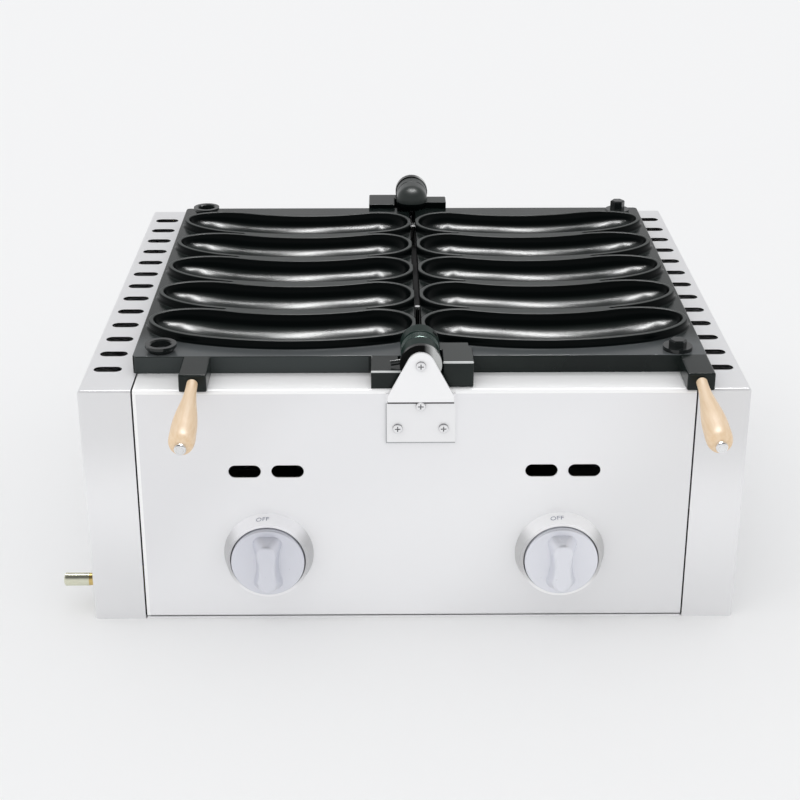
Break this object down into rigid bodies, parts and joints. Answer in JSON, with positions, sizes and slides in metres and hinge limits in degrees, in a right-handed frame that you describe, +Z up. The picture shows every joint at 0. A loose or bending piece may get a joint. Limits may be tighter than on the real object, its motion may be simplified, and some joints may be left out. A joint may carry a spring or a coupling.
{
  "type": "shaped waffle maker",
  "caption": "Table-top gas waffle maker with two hinged cast-iron plates of banana-shaped moulds on a stainless burner casing with tap knobs.",
  "frame": {"origin": "centre of the casing's footprint, on the surface it stands on", "axes": "+Z up, -Y towards the user at the knobs, +X to the user's right"},
  "size_m": [0.6085, 0.637, 0.267],
  "materials": {
    "casing_steel": "satin",
    "inner_steel": "satin",
    "plate_iron": "seasoned, slightly rough",
    "burner_iron": "rough",
    "handle_wood": "turned and varnished",
    "bright_steel": "polished",
    "hinge_ring": "knurled",
    "dark_steel": "dark oxide",
    "brass": "machined",
    "plated_tube": "zinc plated",
    "knob_metal": "brushed",
    "bezel_metal": "satin"
  },
  "bodies": {
    "casing": {"side_panel_left": "casing_steel", "side_panel_right": "casing_steel", "front_panel": "casing_steel", "rear_panel": "casing_steel", "base_pan": "inner_steel", "heat_shield_left": "inner_steel", "heat_shield_right": "inner_steel", "centre_rail": "inner_steel", "gap_pins": "bright_steel", "hinge_bracket_front": "casing_steel", "hinge_bracket_rear": "casing_steel", "pivot_plate_front": "casing_steel", "pivot_plate_rear": "casing_steel", "pivot_pin_front": "bright_steel", "pivot_pin_rear": "bright_steel", "thrust_washer_front": "bright_steel", "thrust_washer_rear": "bright_steel", "hinge_spacer_ring": "hinge_ring", "pivot_screws": "bright_steel", "bracket_screws": "bright_steel", "gas_rail": "inner_steel", "rail_end_plug": "brass", "gas_inlet_fitting": "brass", "gas_hose_nipple": "plated_tube", "rail_straps": "inner_steel", "burner_support_front": "inner_steel", "burner_support_rear": "inner_steel", "valve_body_left": "brass", "valve_gland_left": "brass", "injector_jet_left": "brass", "burner_left": "burner_iron", "air_shutter_left": "inner_steel", "knob_bezel_left": "bezel_metal", "valve_body_right": "brass", "valve_gland_right": "brass", "injector_jet_right": "brass", "burner_right": "burner_iron", "air_shutter_right": "inner_steel", "knob_bezel_right": "bezel_metal"},
    "left_plate": {"mould_plate_left": "plate_iron", "locating_cups": "plate_iron", "handle_rod_left": "bright_steel", "handle_grip_left": "handle_wood", "handle_nut_left": "bright_steel", "set_screw_left": "dark_steel"},
    "right_plate": {"mould_plate_right": "plate_iron", "locating_studs": "plate_iron", "handle_rod_right": "bright_steel", "handle_grip_right": "handle_wood", "handle_nut_right": "bright_steel", "set_screw_right": "dark_steel"},
    "left_tap": {"tap_plug_left": "brass", "valve_spring_left": "bright_steel"},
    "right_tap": {"tap_plug_right": "brass", "valve_spring_right": "bright_steel"},
    "left_knob": {"knob_left": "knob_metal", "valve_spindle_left": "inner_steel"},
    "right_knob": {"knob_right": "knob_metal", "valve_spindle_right": "inner_steel"}
  },
  "joints": [
    {"name": "left_plate_fold", "type": "hinge", "parent": "casing", "child": "left_plate", "pos_m": [0.005, 0, 0.249], "axis": [0, 1, 0], "range_deg": [0, 180]},
    {"name": "right_plate_fold", "type": "hinge", "parent": "casing", "child": "right_plate", "pos_m": [0.005, 0, 0.249], "axis": [0, -1, 0], "range_deg": [0, 180]},
    {"name": "left_tap_turn", "type": "hinge", "parent": "casing", "child": "left_tap", "pos_m": [-0.13, 0, 0.067], "axis": [0, -1, 0], "range_deg": [0, 180]},
    {"name": "left_knob_push", "type": "slide", "parent": "left_tap", "child": "left_knob", "axis": [0, 1, 0], "range_m": [0, 0.003], "stiffness_N_per_m": 1500, "springref_m": -0.002, "deforming": ["valve_spring_left"]},
    {"name": "right_tap_turn", "type": "hinge", "parent": "casing", "child": "right_tap", "pos_m": [0.13, 0, 0.067], "axis": [0, -1, 0], "range_deg": [0, 180]},
    {"name": "right_knob_push", "type": "slide", "parent": "right_tap", "child": "right_knob", "axis": [0, 1, 0], "range_m": [0, 0.003], "stiffness_N_per_m": 1500, "springref_m": -0.002, "deforming": ["valve_spring_right"]}
  ]
}
